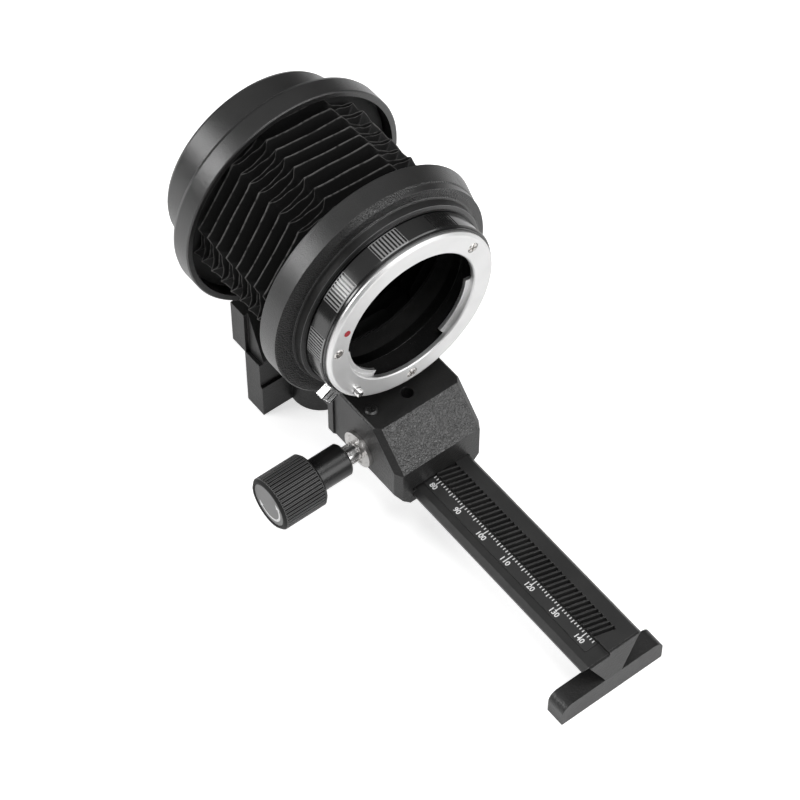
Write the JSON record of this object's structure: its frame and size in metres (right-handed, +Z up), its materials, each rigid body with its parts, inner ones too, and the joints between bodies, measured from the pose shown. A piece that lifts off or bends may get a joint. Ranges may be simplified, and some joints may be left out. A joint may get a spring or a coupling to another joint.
{
  "type": "macro bellows unit",
  "caption": "Macro bellows: a lens mount on a rack-focused carriage joined by pleated black cloth to a fixed camera mount, on a scaled rail with feet.",
  "frame": {"origin": "mouth of the tripod socket, at the level of the table the feet stand on", "axes": "+Z up along the tripod socket, -Y along the rail towards the lens end, +X to the right seen from the lens end; the focusing knob is on the -X side"},
  "size_m": [0.0786, 0.1562, 0.1058],
  "materials": {
    "cast_black": "black powder coat on cast alloy, fine orange-peel texture",
    "turned_black": "satin black anodised, turned",
    "gloss_black": "gloss black anodised",
    "bright_chrome": "satin-polished chrome",
    "steel_part": "turned bright steel",
    "brass_part": "nickelled brass",
    "dark_screw": "blackened steel",
    "scale_black": "printed strip, matt black",
    "knob_black": "ribbed black plastic",
    "disc_grey": "grey printed disc",
    "dot_red": "red enamel",
    "cloth": "black rubberised bellows cloth, fine weave"
  },
  "bodies": {
    "rail": {"rail_bar": "cast_black", "front_foot": "cast_black", "rear_base": "cast_black", "tripod_bush": "brass_part", "scale_strip": "scale_black", "rear_standard": "cast_black", "standard_screws": "dark_screw", "rear_ring": "turned_black", "rear_clamp": "turned_black", "camera_ring": "turned_black", "camera_bayonet": "bright_chrome", "camera_screws": "steel_part", "bellows": "cloth"},
    "carriage": {"carriage_block": "cast_black", "end_plate": "cast_black", "plate_screws": "dark_screw", "top_screw": "dark_screw", "bearing_bush": "brass_part", "shaft_cap": "dark_screw", "front_ring": "turned_black", "front_clamp": "turned_black", "grip_ring": "gloss_black", "spacer_ring": "gloss_black", "lens_bayonet": "bright_chrome", "mount_screws": "steel_part", "index_dot": "dot_red"},
    "knob": {"focus_shaft": "bright_chrome", "pinion": "steel_part", "knob_hub": "knob_black", "focus_knob": "knob_black", "knob_disc": "disc_grey"},
    "release": {"release_lever": "bright_chrome", "lock_pin": "steel_part"}
  },
  "joints": [
    {"name": "carriage_slide", "type": "slide", "parent": "rail", "child": "carriage", "axis": [0, -1, 0], "range_m": [-0.016, 0.062], "deforming": ["bellows"]},
    {"name": "focus_spin", "type": "hinge", "parent": "carriage", "child": "knob", "pos_m": [-0.0374, -0.037, 0.0224], "axis": [1, 0, 0], "range_deg": [-212, 812]},
    {"name": "release_pull", "type": "slide", "parent": "carriage", "child": "release", "axis": [0, 1, 0], "range_m": [0, 0.0018], "stiffness_N_per_m": 600, "springref_m": -0.001}
  ],
  "couplings": [
    {"joint": "focus_spin", "follows": "carriage_slide", "rad_per_m": 227.28}
  ]
}
